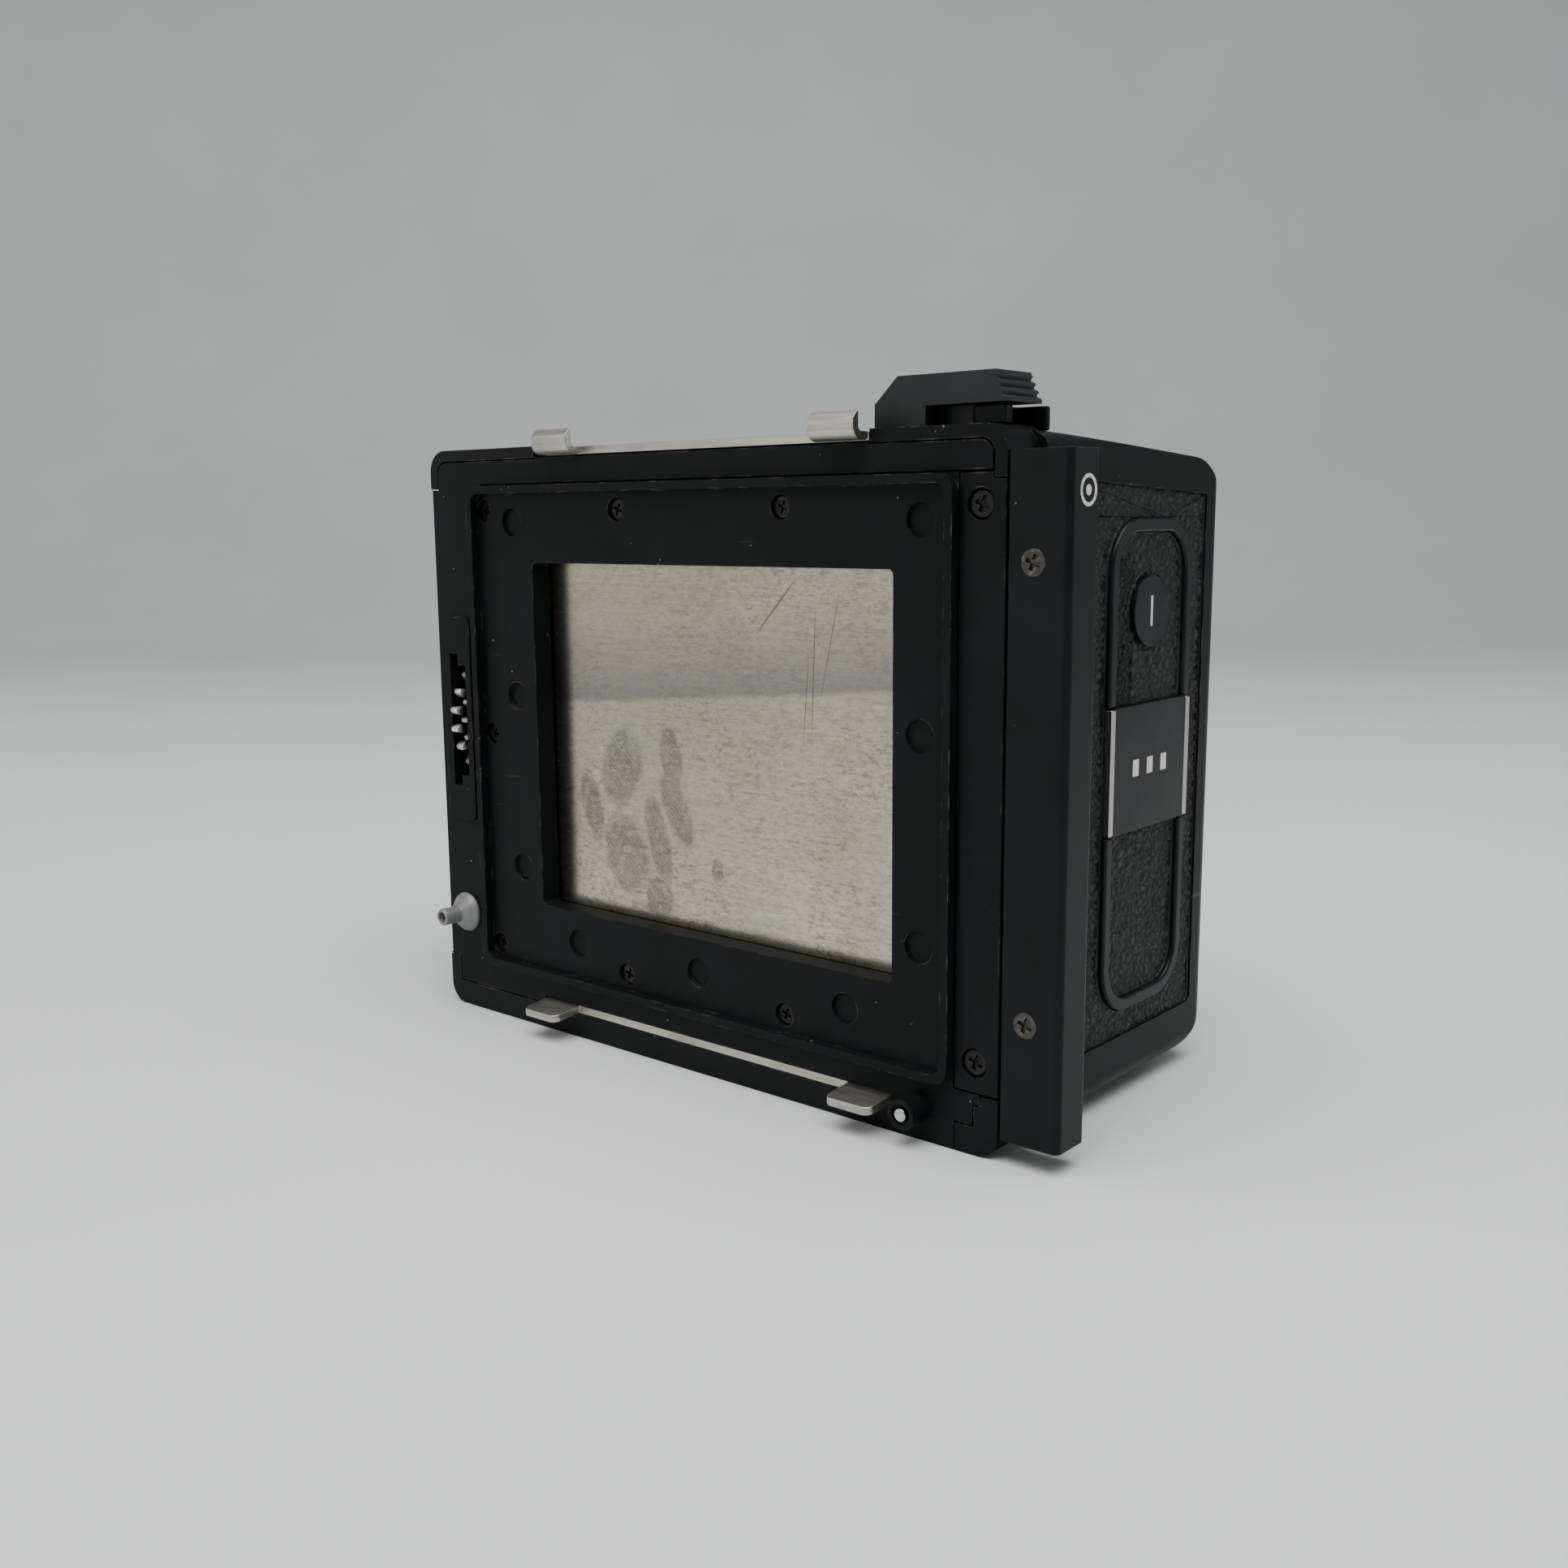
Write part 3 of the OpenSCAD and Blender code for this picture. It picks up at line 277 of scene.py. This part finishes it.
def leatherette():
    """Creased black leatherette. The creases are in the mesh; this adds pores and painted shade in the
    creases, which leaves the crests paler.
    """
    r = Recipe("leatherette", (0.02, 0.022, 0.024), 0.5, specular=0.3)
    sunk = r.node("ShaderNodeAttribute", attribute_name="crease").outputs["Fac"]
    pores = r.noise(4200, 4, 0.6)
    crest = r.mix(r.ramp(r.noise(900, 4), 0.35, 0.7), (0.011, 0.0128, 0.0134), (0.021, 0.0238, 0.025))
    # Painted shade: the colour darkens to near black in the creases.
    r.color(r.mix(r.ramp(sunk, 0.1, 0.8), crest, (0.0022, 0.0026, 0.0028)))
    r.roughness(r.ramp(pores, 0.35, 0.7, 0.44, 0.62))
    r.bump(pores, 0.5, 0.05)
    return r.material


def brushed(name, color, rough, along, fineness=9000, stain=0.25, metal=1.0):
    """Bare metal with a one-way grain along an axis, and tarnish."""
    r = Recipe(name, color, rough, metal)
    keep = {"X": (0.02, 1, 1), "Y": (1, 0.02, 1), "Z": (1, 1, 0.02)}[along]
    where = r.stretched(*keep)
    grain = r.noise(fineness, 3, 0.6, where)
    wide = r.noise(fineness * 0.16, 3, 0.6, where)
    tarnish = r.ramp(r.noise(160, 5, 0.65), 0.42, 0.72, 0, stain)
    dark = tuple(c * 0.72 for c in color)
    shade = r.mix(r.ramp(wide, 0.35, 0.65), dark, color)
    r.color(r.mix(tarnish, shade, tuple(c * 0.42 for c in color)))
    worn = r.math("ADD", grain, r.math("MULTIPLY", tarnish, 0.6))
    r.roughness(r.ramp(worn, 0.3, 0.9, rough - 0.08, rough + 0.16))
    r.bump(grain, 0.3, 0.006)
    return r.material


def spot(r, centre, half_w, half_h, tilt, ragged=0.5):
    """A tilted oval on the slide with a ragged outline. Returns its strength."""
    turn = r.node("ShaderNodeMapping", vector_type="TEXTURE")
    r.feed(turn.inputs["Vector"], r.place)
    turn.inputs["Location"].default_value = at(centre[0], 3, centre[1])
    turn.inputs["Rotation"].default_value = (0, tilt, 0)
    turn.inputs["Scale"].default_value = (half_w * MM, 1, half_h * MM)
    flat = r.node("ShaderNodeVectorMath", operation="MULTIPLY")
    r.feed(flat.inputs[0], turn.outputs["Vector"])
    flat.inputs[1].default_value = (1, 0, 1)
    length = r.node("ShaderNodeVectorMath", operation="LENGTH")
    r.feed(length.inputs[0], flat.outputs["Vector"])
    torn = r.math("ADD", length.outputs["Value"], r.math("MULTIPLY", r.noise(420, 5, 0.7), ragged))
    return r.ramp(torn, 1 + ragged * 0.55, 0.78 + ragged * 0.5)


def strongest(r, strengths):
    total = strengths[0]
    for strength in strengths[1:]:
        total = r.math("MAXIMUM", total, strength)
    return total


def painted_reflection_band(r, foot, height, climb):
    """Painted reflection: a darker band across the slide where it mirrors the dim background above the floor's
    edge, rising to the right: sharp along its foot, fading upwards.
    """
    split = r.node("ShaderNodeSeparateXYZ")
    r.feed(split.inputs["Vector"], r.place)
    sharp = 0.7 * MM
    wave = r.math("MULTIPLY", r.noise(90, 3, 0.5, r.stretched(0.4, 1, 1)), 1.6 * MM)
    level = r.math("ADD", split.outputs["Z"], wave)
    level = r.math("SUBTRACT", level, r.math("MULTIPLY", split.outputs["X"], climb))
    low = at(0, 0, foot).z
    edge = r.ramp(level, low, low + sharp)
    fade = r.ramp(level, low + height * MM, low + sharp)
    return r.math("MULTIPLY", edge, r.math("POWER", fade, 1.4))


def corner_tarnish(r):
    """The slide is duller towards its upper left corner."""
    split = r.node("ShaderNodeSeparateXYZ")
    r.feed(split.inputs["Vector"], r.place)
    rise = r.math("SUBTRACT", split.outputs["Z"], r.math("MULTIPLY", split.outputs["X"], 0.5))
    ragged = r.math("ADD", rise, r.math("MULTIPLY", r.noise(70, 5), 14 * MM))
    return r.ramp(ragged, at(0, 0, 30).z, at(0, 0, 78).z, 0, 0.5)


# Finger marks and scratches on the slide: place in x and z, half width, half height, tilt.
FINGER_MARKS = (
    ((30.7, 34.2), 3.5, 5.4, 0.35),
    ((38.9, 36.2), 1.9, 4.0, -0.15),
    ((25.3, 29.2), 1.9, 4.9, -0.25),
    ((31.2, 23.6), 4.0, 5.4, -0.35),
    ((39.6, 30.0), 2.0, 5.0, -0.5),
    ((36.6, 26.0), 1.9, 5.8, -0.25),
    ((36.6, 18.9), 2.5, 2.9, 0.1),
    ((46.0, 23.6), 1.0, 1.7, 0.1),
)
SCRATCHES = (
    ((55.2, 54.0), 0.16, 4.4, 0.75),
    ((60.4, 47.5), 0.09, 7.5, 0.04),
    ((62.6, 50.0), 0.08, 6.5, 0.22),
    ((59.3, 44.0), 0.08, 5.5, 0.08),
)


def slide_steel():
    """The dark slide: warm bare steel, fine horizontal brushing, finger marks, handling scratches."""
    r = Recipe("slide_steel", (0.5, 0.48, 0.43), 0.3, 1.0)
    hair = r.noise(11000, 4, 0.8, r.stretched(0.07, 1, 1))
    streak = r.noise(2600, 5, 0.8, r.stretched(0.035, 1, 1))
    base = r.mix(r.ramp(r.noise(48, 5, 0.6), 0.36, 0.66), (0.485, 0.43, 0.335), (0.60, 0.565, 0.455))
    olive = r.ramp(r.noise(62, 4, 0.6, r.stretched(1, 1, 0.8)), 0.50, 0.66, 0, 0.55)
    base = r.mix(olive, base, (0.44, 0.46, 0.335))
    base = r.mix(r.ramp(streak, 0.46, 0.66, 0, 0.5), base, (0.27, 0.24, 0.195))
    base = r.mix(r.ramp(hair, 0.48, 0.64, 0, 0.65), base, (0.22, 0.195, 0.155))
    fleck = r.ramp(r.noise(1500, 6, 0.9, r.stretched(0.5, 1, 1)), 0.485, 0.585)
    mottle = r.math("MULTIPLY", fleck, r.ramp(r.noise(85, 5, 0.65), 0.36, 0.58, 0.25, 1))
    base = r.mix(r.math("MULTIPLY", mottle, 0.75), base, (0.17, 0.148, 0.118))
    base = r.mix(r.ramp(r.noise(700, 6, 0.85), 0.55, 0.68, 0, 0.4), base, (0.62, 0.61, 0.54))
    base = r.mix(corner_tarnish(r), base, (0.25, 0.225, 0.18))
    # Painted reflection: the dim background mirrored above a sharp rising edge, as a darker band.
    reflected_band = painted_reflection_band(r, foot=43.6, height=11, climb=0.09)
    base = r.mix(r.math("MULTIPLY", reflected_band, 0.72), base, (0.17, 0.175, 0.165))
    prints = strongest(r, [spot(r, *mark) for mark in FINGER_MARKS])
    ridges = r.node("ShaderNodeTexWave", wave_type="BANDS", bands_direction="DIAGONAL")
    r.feed(ridges.inputs["Vector"], r.place)
    for name, value in (("Scale", 980), ("Distortion", 9.0), ("Detail", 3.0), ("Detail Scale", 0.5)):
        ridges.inputs[name].default_value = value
    broken = r.math("MULTIPLY", r.ramp(ridges.outputs["Fac"], 0.2, 0.7, 0.68, 1),
                    r.ramp(r.noise(900, 5, 0.9), 0.38, 0.56, 0.35, 1))
    smudge = r.math("MULTIPLY", prints, broken)
    base = r.mix(r.math("MULTIPLY", smudge, 0.8), base, (0.13, 0.125, 0.11))
    scratched = strongest(r, [spot(r, *line, 0.25) for line in SCRATCHES])
    r.color(r.mix(r.math("MULTIPLY", scratched, 0.75), base, (0.14, 0.115, 0.075)))
    r.roughness(r.ramp(r.math("ADD", hair, r.math("MULTIPLY", smudge, 0.5)), 0.3, 1.1, 0.19, 0.38))
    r.bump(hair, 0.5, 0.006)
    return r.material


def worn_gear():
    """Blackened steel rubbed bright on the crests of the drive gear's teeth."""
    root_r, tip_r = 7.9 * MM, 8.8 * MM
    r = Recipe("gear_black", (0.05, 0.05, 0.052), 0.4, 0.9)
    arm = r.node("ShaderNodeVectorMath", operation="SUBTRACT")
    r.feed(arm.inputs[0], r.place)
    arm.inputs[1].default_value = frame_centre("drive_shaft")
    flat = r.node("ShaderNodeVectorMath", operation="MULTIPLY")
    r.feed(flat.inputs[0], arm.outputs["Vector"])
    flat.inputs[1].default_value = (0, 1, 1)
    reach = r.node("ShaderNodeVectorMath", operation="LENGTH")
    r.feed(reach.inputs[0], flat.outputs["Vector"])
    crest = r.ramp(reach.outputs["Value"], root_r, tip_r)
    bright = r.math("MULTIPLY", crest, r.ramp(r.noise(1100, 4), 0.3, 0.5, 0.45, 1))
    r.color(r.mix(bright, (0.022, 0.020, 0.020), (0.80, 0.74, 0.70)))
    r.metallic(r.ramp(bright, 0, 1, 0.9, 0.45))
    r.roughness(r.ramp(r.noise(1400, 3), 0.3, 0.7, 0.32, 0.5))
    return r.material


def frame_centre(node):
    lo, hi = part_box(node)
    return (lo + hi) / 2


def worn_screw(name, color, bare, amount):
    """A screw head rubbed to bare metal along its edges and in patches."""
    r = Recipe(name, color, 0.4, 0.8)
    rubbed = r.math("MULTIPLY", r.edges(0.09, 0.02, 0.25), r.ramp(r.noise(1100, 4), 0.42, 0.6))
    blotch = r.ramp(r.noise(1500, 4, 0.7), 0.62 - amount * 0.25, 0.75 - amount * 0.2, 0, amount)
    r.color(r.mix(r.math("MAXIMUM", rubbed, blotch), color, bare))
    r.roughness(r.ramp(r.noise(1900, 3), 0.3, 0.7, 0.28, 0.5))
    return r.material


def plastic(name, color, rough, grain, specular=0.3):
    """Moulded or anodised black: fine grain, and rims rubbed in patches whose sheen is painted in as a lighter
    colour.
    """
    r = Recipe(name, color, rough, specular=specular)
    fine = r.noise(3400, 2)
    lighter = tuple(c * 1.3 + 0.002 for c in color)
    # Painted sheen: the rims are lightened in patches in the colour, for rubbed, shinier edges.
    rim = r.math("MULTIPLY", r.edges(0.2), r.ramp(r.noise(500, 4), 0.48, 0.66, 0, 0.3))
    base = r.mix(r.ramp(r.noise(140, 3), 0.35, 0.65), color, lighter)
    r.color(r.mix(rim, base, tuple(c + 0.09 for c in color)))
    r.roughness(r.ramp(r.noise(230, 4), 0.3, 0.7, rough - 0.04, rough + 0.05))
    r.bump(fine, grain, 0.01)
    return r.material


def felt():
    r = Recipe("felt", (0.012, 0.012, 0.013), 0.95)
    fibre = r.noise(7000, 4, 0.8)
    r.color(r.mix(r.ramp(fibre, 0.3, 0.7), (0.006, 0.006, 0.007), (0.03, 0.03, 0.031)))
    r.bump(fibre, 0.9, 0.08)
    return r.material


def clear_window():
    r = Recipe("window", (0.9, 0.94, 0.95), 0.06)
    r.shader.inputs["Transmission Weight"].default_value = 0.9
    r.roughness(r.ramp(r.noise(1200, 3), 0.3, 0.8, 0.03, 0.16))
    return r.material


def enamel_white(name):
    r = Recipe(name, (0.8, 0.8, 0.78), 0.5)
    r.tint(r.noise(900, 4), (0.50, 0.50, 0.49), (0.64, 0.64, 0.62))
    r.roughness(r.ramp(r.noise(1800, 3), 0.3, 0.7, 0.42, 0.6))
    return r.material


def make_materials():
    ink = (0.0035, 0.0046, 0.0050)
    deep_ink = (0.0033, 0.0044, 0.0048)
    return {
        "black_paint": black_paint("black_paint", ink, 0.36, 0.05, 0.8),
        "black_matte_casting": black_paint("black_matte_casting", ink, 0.5, 0.2, 0.7, 0.9),
        "black_gloss_paint": black_paint("black_gloss_paint", deep_ink, 0.3, 0.015, 0.7, 0.35, 0.12),
        "black_trim": plastic("black_trim", (0.0055, 0.0068, 0.0074), 0.3, 0.03, 0.16),
        "black_plastic": plastic("black_plastic", (0.009, 0.011, 0.012), 0.42, 0.15, 0.25),
        "black_screw": worn_screw("black_screw", (0.018, 0.018, 0.018), (0.26, 0.25, 0.23), 0.2),
        "worn_screw": worn_screw("worn_screw", (0.055, 0.05, 0.045), (0.42, 0.39, 0.34), 0.3),
        "gear_black": worn_gear(),
        "chassis_black": black_paint("chassis_black", (0.008, 0.008, 0.009), 0.6, 0.4, 0.3),
        "felt": felt(),
        "leatherette": leatherette(),
        "slide_steel": slide_steel(),
        "hook_steel": brushed("hook_steel", (0.56, 0.535, 0.48), 0.38, "X", stain=0.5),
        "polished_steel": brushed("polished_steel", (0.60, 0.60, 0.60), 0.2, "Y", 6000, 0.12),
        "zinc_steel": brushed("zinc_steel", (0.25, 0.25, 0.25), 0.46, "Z", 5000, metal=0.35),
        "bright_trim": brushed("bright_trim", (0.50, 0.48, 0.45), 0.3, "Z", 6000, 0.15),
        "brass": brushed("brass", (0.58, 0.42, 0.18), 0.3, "Z", 5000),
        "window": clear_window(),
        "dial_white": enamel_white("dial_white"),
        "white_paint": enamel_white("white_paint"),
    }


# ---------------------------------------------------------------- meshes

WELD_DISTANCE = 2e-6
FLAT_ANGLE = 0.6                         # triangles that meet at less than this are one face
BEVEL_ANGLE = 30                         # edges sharper than this are rounded
PLATEAU_EDGE = 0.36                      # how far a crease's wall reaches, in cells
NET_ROW = 0.866                          # height of a row of the triangle net, in steps


def add_object(name, mesh):
    made = bpy.data.objects.new(name, mesh)
    bpy.context.collection.objects.link(made)
    return made


def apply_modifiers(obj):
    """The object's mesh becomes what its modifiers make of it."""
    graph = bpy.context.evaluated_depsgraph_get()
    finished = bpy.data.meshes.new_from_object(obj.evaluated_get(graph))
    obj.modifiers.clear()
    obj.data = finished


def clean_copy(node, name):
    """The node's own surface, welded and with its coplanar triangles joined."""
    bm = bmesh.new()
    bm.from_mesh(frame["nodes"][node].data)
    bmesh.ops.remove_doubles(bm, verts=bm.verts, dist=WELD_DISTANCE)
    bmesh.ops.dissolve_limit(bm, angle_limit=math.radians(FLAT_ANGLE), verts=bm.verts, edges=bm.edges)
    mesh = bpy.data.meshes.new(name)
    bm.to_mesh(mesh)
    bm.free()
    return add_object(name, mesh)


def hand_over(piece, node):
    """The piece stands for the node: it takes the node's body, and the node is hidden."""
    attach(piece, BODY_OF[node])
    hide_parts(node)


def settle(piece, node, angle=38):
    """Smooth shading with flat faces kept flat, the node's finish, and the node handed over."""
    piece.data.shade_smooth()
    piece.data.set_sharp_from_angle(angle=math.radians(angle))
    normals = piece.modifiers.new("normals", "WEIGHTED_NORMAL")
    normals.weight = 100
    normals.keep_sharp = True
    apply_modifiers(piece)
    piece.data.materials.clear()
    piece.data.materials.append(FINISH[SLOTS[node]])
    hand_over(piece, node)


def soften(node, width):
    """Replaces a node by its own shape with every sharp edge rounded by width, in millimetres."""
    piece = clean_copy(node, node + "_finished")
    bevel = piece.modifiers.new("edges", "BEVEL")
    bevel.width = width * MM
    bevel.segments = 2
    bevel.limit_method = "ANGLE"
    bevel.angle_limit = math.radians(BEVEL_ANGLE)
    bevel.use_clamp_overlap = True
    bevel.miter_outer = "MITER_ARC"
    apply_modifiers(piece)
    settle(piece, node)


def crease_depth(point, cell):
    """0 on the plateaus of leather grain and 1 in the creases between them."""
    bent = point / cell + 0.6 * noise.noise_vector(point / (cell * 1.5))
    near, far = noise.voronoi(bent)[0][:2]
    plateau = min(1.0, (far - near) / PLATEAU_EDGE)
    rise = 0.8 + 0.2 * noise.noise(point / (cell * 0.45))
    return 1 - rise * plateau * plateau * (3 - 2 * plateau)


def triangle_net(lo, hi, step):
    """Rows of points between two corners, every other row half a step along."""
    rows = int((hi.y - lo.y) / (step * NET_ROW))
    columns = int((hi.x - lo.x) / step)
    return [Vector((lo.x + (i + 0.31 + 0.5 * (k % 2)) * step, lo.y + (k + 0.37) * step * NET_ROW))
            for k in range(rows) for i in range(columns)]


def grain_leather(node, axis, sign, step, cell, depth):
    """Replaces a flat panel by one whose outer face is a fine net of points, sunk along its creases."""
    piece = clean_copy(node, node + "_grained")
    bm = bmesh.new()
    bm.from_mesh(piece.data)
    creases = bm.verts.layers.float.new("crease")
    b, c = [i for i in range(3) if i != axis]
    step, cell, depth = step * MM, cell * MM, depth * MM
    for face in [f for f in bm.faces if f.normal[axis] * sign > 0.99]:
        rim = list(face.verts)
        level = rim[0].co[axis]
        flat = [Vector((v.co[b], v.co[c])) for v in rim]
        lo = Vector((min(p.x for p in flat), min(p.y for p in flat)))
        hi = Vector((max(p.x for p in flat), max(p.y for p in flat)))
        points, _, triangles, origins, _, _ = geometry.delaunay_2d_cdt(
            flat + triangle_net(lo, hi, step), [], [list(range(len(flat)))], 1, 1e-9, True)
        corners = []
        for point, source in zip(points, origins):
            fixed = [i for i in source if i < len(flat)]
            if fixed:
                corners.append(rim[fixed[0]])
                continue
            place = Vector((0, 0, 0))
            place[axis], place[b], place[c] = level, point.x, point.y
            sunk = crease_depth(place, cell)
            place[axis] -= sign * depth * sunk
            vert = bm.verts.new(place)
            # The crease depth is kept for the leatherette's painted shade in the creases.
            vert[creases] = sunk
            corners.append(vert)
        bm.faces.remove(face)
        for triangle in triangles:
            bm.faces.new([corners[i] for i in triangle])
    bmesh.ops.delete(bm, geom=[v for v in bm.verts if not v.link_faces], context="VERTS")
    bmesh.ops.recalc_face_normals(bm, faces=bm.faces)
    bm.to_mesh(piece.data)
    bm.free()
    settle(piece, node, 50)


# How much each node's sharp edges are rounded, in millimetres.
EDGE_WIDTHS = {
    "outer_shell": 0.25, "front_plate": 0.12, "slide_plate": 0.12, "slide_handle": 0.3,
    "release_lever": 0.2, "lever_guard": 0.2, "hook_slider": 0.12, "bottom_hooks": 0.12,
    "locating_pin": 0.08, "interlock_sleeve": 0.12, "interlock_pin": 0.12, "trim_ring": 0.32,
    "format_plate": 0.25, "format_strips": 0.12, "type_disc": 0.25, "plate_screws": 0.07,
    "slide_plate_screws": 0.07, "handle_screws": 0.05, "rear_cover": 0.2, "memo_frame": 0.12,
    "cover_latch": 0.15, "wind_knob": 0.2, "rewind_knob": 0.2, "rewind_crank": 0.15,
    "crank_grip": 0.25, "drive_gear": 0.06, "dark_slide_blade": 0.08, "film_sprocket": 0.1,
    "takeup_spool": 0.15,
}


def finish_nodes():
    """Every node gets its finish, and the visible ones a softened or grained piece."""
    for node, item in frame["nodes"].items():
        item.data.materials.clear()
        item.data.materials.append(FINISH[SLOTS[node]])
    for node, width in EDGE_WIDTHS.items():
        soften(node, width)
    grain_leather("side_leather", 0, 1, 0.21, 0.95, 0.31)
    grain_leather("left_leather", 0, -1, 0.32, 0.95, 0.26)
    grain_leather("rear_leather", 1, 1, 0.36, 0.95, 0.26)


FINISH = make_materials()
make_camera()
make_stage()
make_lights()
finish_nodes()
